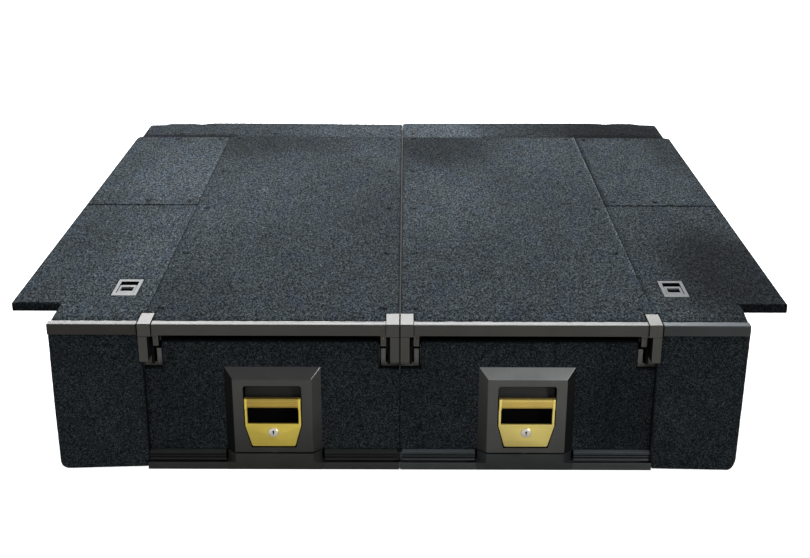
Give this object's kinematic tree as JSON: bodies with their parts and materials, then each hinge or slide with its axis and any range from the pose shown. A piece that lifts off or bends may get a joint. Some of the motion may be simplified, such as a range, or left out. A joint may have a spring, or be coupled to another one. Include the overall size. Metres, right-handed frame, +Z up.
{
  "type": "ute drawer system",
  "caption": "Twin drawer system for a pick-up tub: sliding drawers under carpeted lids, with hatched wings over the wheel arches.",
  "frame": {"origin": "middle of the footprint, on the tub floor", "axes": "+Z up; the drawers open towards -Y; +X to the right seen from the drawers"},
  "size_m": [1.53, 1.53, 0.316],
  "materials": {
    "carpet_board": "charcoal needle-punched carpet bonded over 12 mm plywood",
    "black_anodised": "dark gunmetal anodised extrusion, fine brushed grain",
    "moulding": "satin charcoal moulding",
    "gold_handle": "satin gold anodised",
    "lock_chrome": "polished",
    "latch_silver": "satin silver",
    "tray_sheet": "black powder coat on folded sheet",
    "frame_mill": "mill finish",
    "roller_nylon": "black nylon tyre",
    "bolt_steel": "zinc plated"
  },
  "bodies": {
    "root": {"left_floor_board": "carpet_board", "left_outer_side_panel": "carpet_board", "left_inner_side_panel": "carpet_board", "left_rear_panel": "frame_mill", "left_outer_runner_rail": "black_anodised", "left_inner_runner_rail": "black_anodised", "left_outer_rail_cap": "black_anodised", "left_inner_rail_cap": "black_anodised", "left_lid_board": "carpet_board", "left_lid_trim": "black_anodised", "left_sill": "black_anodised", "left_striker_foot": "moulding", "left_wing_fascia": "carpet_board", "left_wing_frame": "frame_mill", "left_rear_wing_board": "carpet_board", "left_filler_board": "carpet_board", "right_floor_board": "carpet_board", "right_outer_side_panel": "carpet_board", "right_inner_side_panel": "carpet_board", "right_rear_panel": "frame_mill", "right_outer_runner_rail": "black_anodised", "right_inner_runner_rail": "black_anodised", "right_outer_rail_cap": "black_anodised", "right_inner_rail_cap": "black_anodised", "right_lid_board": "carpet_board", "right_lid_trim": "black_anodised", "right_sill": "black_anodised", "right_striker_foot": "moulding", "right_wing_fascia": "carpet_board", "right_wing_frame": "frame_mill", "right_rear_wing_board": "carpet_board", "right_filler_board": "carpet_board"},
    "left_drawer": {"left_drawer_tray": "tray_sheet", "left_drawer_front": "carpet_board", "left_kick_rail": "black_anodised", "left_handle_bezel": "moulding"},
    "left_outer_wheel": {"left_outer_roller": "roller_nylon"},
    "left_inner_wheel": {"left_inner_roller": "roller_nylon"},
    "left_handle_set": {"left_handle": "gold_handle"},
    "left_lock": {"left_lock_cylinder": "lock_chrome"},
    "left_bolt": {"left_latch_bolt": "bolt_steel"},
    "left_hatch": {"left_hatch_board": "carpet_board", "left_hatch_trim": "black_anodised", "left_latch_plate": "latch_silver"},
    "left_ring": {"left_latch_ring": "latch_silver"},
    "left_tongue": {"left_latch_tongue": "bolt_steel"},
    "right_drawer": {"right_drawer_tray": "tray_sheet", "right_drawer_front": "carpet_board", "right_kick_rail": "black_anodised", "right_handle_bezel": "moulding"},
    "right_outer_wheel": {"right_outer_roller": "roller_nylon"},
    "right_inner_wheel": {"right_inner_roller": "roller_nylon"},
    "right_handle_set": {"right_handle": "gold_handle"},
    "right_lock": {"right_lock_cylinder": "lock_chrome"},
    "right_bolt": {"right_latch_bolt": "bolt_steel"},
    "right_hatch": {"right_hatch_board": "carpet_board", "right_hatch_trim": "black_anodised", "right_latch_plate": "latch_silver"},
    "right_ring": {"right_latch_ring": "latch_silver"},
    "right_tongue": {"right_latch_tongue": "bolt_steel"}
  },
  "joints": [
    {"name": "left_drawer_slide", "type": "slide", "parent": "root", "child": "left_drawer", "axis": [0, -1, 0], "range_m": [0, 1.05]},
    {"name": "left_outer_wheel_spin", "type": "hinge", "parent": "left_drawer", "child": "left_outer_wheel", "pos_m": [-0.4804, 0.508, 0.2313], "axis": [1, 0, 0], "range_deg": [0, 5100]},
    {"name": "left_inner_wheel_spin", "type": "hinge", "parent": "left_drawer", "child": "left_inner_wheel", "pos_m": [-0.0216, 0.508, 0.2313], "axis": [1, 0, 0], "range_deg": [0, 5100]},
    {"name": "left_handle_tilt", "type": "hinge", "parent": "left_drawer", "child": "left_handle_set", "pos_m": [-0.2485, -0.7545, 0.058], "axis": [1, 0, 0], "range_deg": [0, 32], "stiffness_Nm_per_rad": 1, "springref_deg": -8.59},
    {"name": "left_lock_turn", "type": "hinge", "parent": "left_handle_set", "child": "left_lock", "pos_m": [-0.2485, -0.758, 0.0835], "axis": [0, -1, 0], "range_deg": [0, 90]},
    {"name": "left_bolt_lift", "type": "slide", "parent": "left_drawer", "child": "left_bolt", "axis": [0, 0, 1], "range_m": [0, 0.01]},
    {"name": "left_hatch_hinge", "type": "hinge", "parent": "root", "child": "left_hatch", "pos_m": [-0.63, -0.036, 0.314], "axis": [-1, 0, 0], "range_deg": [0, 100]},
    {"name": "left_ring_lift", "type": "hinge", "parent": "left_hatch", "child": "left_ring", "pos_m": [-0.5555, -0.599, 0.3124], "axis": [1, 0, 0], "range_deg": [0, 70], "stiffness_Nm_per_rad": 0.02, "springref_deg": -11.46},
    {"name": "left_tongue_draw", "type": "slide", "parent": "left_hatch", "child": "left_tongue", "axis": [0, 1, 0], "range_m": [0, 0.016]},
    {"name": "right_drawer_slide", "type": "slide", "parent": "root", "child": "right_drawer", "axis": [0, -1, 0], "range_m": [0, 1.05]},
    {"name": "right_outer_wheel_spin", "type": "hinge", "parent": "right_drawer", "child": "right_outer_wheel", "pos_m": [0.4804, 0.508, 0.2313], "axis": [1, 0, 0], "range_deg": [0, 5100]},
    {"name": "right_inner_wheel_spin", "type": "hinge", "parent": "right_drawer", "child": "right_inner_wheel", "pos_m": [0.0216, 0.508, 0.2313], "axis": [1, 0, 0], "range_deg": [0, 5100]},
    {"name": "right_handle_tilt", "type": "hinge", "parent": "right_drawer", "child": "right_handle_set", "pos_m": [0.2485, -0.7545, 0.058], "axis": [1, 0, 0], "range_deg": [0, 32], "stiffness_Nm_per_rad": 1, "springref_deg": -8.59},
    {"name": "right_lock_turn", "type": "hinge", "parent": "right_handle_set", "child": "right_lock", "pos_m": [0.2485, -0.758, 0.0835], "axis": [0, -1, 0], "range_deg": [0, 90]},
    {"name": "right_bolt_lift", "type": "slide", "parent": "right_drawer", "child": "right_bolt", "axis": [0, 0, 1], "range_m": [0, 0.01]},
    {"name": "right_hatch_hinge", "type": "hinge", "parent": "root", "child": "right_hatch", "pos_m": [0.63, -0.036, 0.314], "axis": [-1, 0, 0], "range_deg": [0, 100]},
    {"name": "right_ring_lift", "type": "hinge", "parent": "right_hatch", "child": "right_ring", "pos_m": [0.5555, -0.599, 0.3124], "axis": [1, 0, 0], "range_deg": [0, 70], "stiffness_Nm_per_rad": 0.02, "springref_deg": -11.46},
    {"name": "right_tongue_draw", "type": "slide", "parent": "right_hatch", "child": "right_tongue", "axis": [0, 1, 0], "range_m": [0, 0.016]}
  ],
  "couplings": [
    {"joint": "left_outer_wheel_spin", "follows": "left_drawer_slide", "rad_per_m": 83.333},
    {"joint": "left_inner_wheel_spin", "follows": "left_drawer_slide", "rad_per_m": 83.333},
    {"joint": "left_bolt_lift", "follows": "left_handle_tilt", "m_per_rad": 0.0179},
    {"joint": "left_tongue_draw", "follows": "left_ring_lift", "m_per_rad": 0.01309},
    {"joint": "right_outer_wheel_spin", "follows": "right_drawer_slide", "rad_per_m": 83.333},
    {"joint": "right_inner_wheel_spin", "follows": "right_drawer_slide", "rad_per_m": 83.333},
    {"joint": "right_bolt_lift", "follows": "right_handle_tilt", "m_per_rad": 0.0179},
    {"joint": "right_tongue_draw", "follows": "right_ring_lift", "m_per_rad": 0.01309}
  ]
}
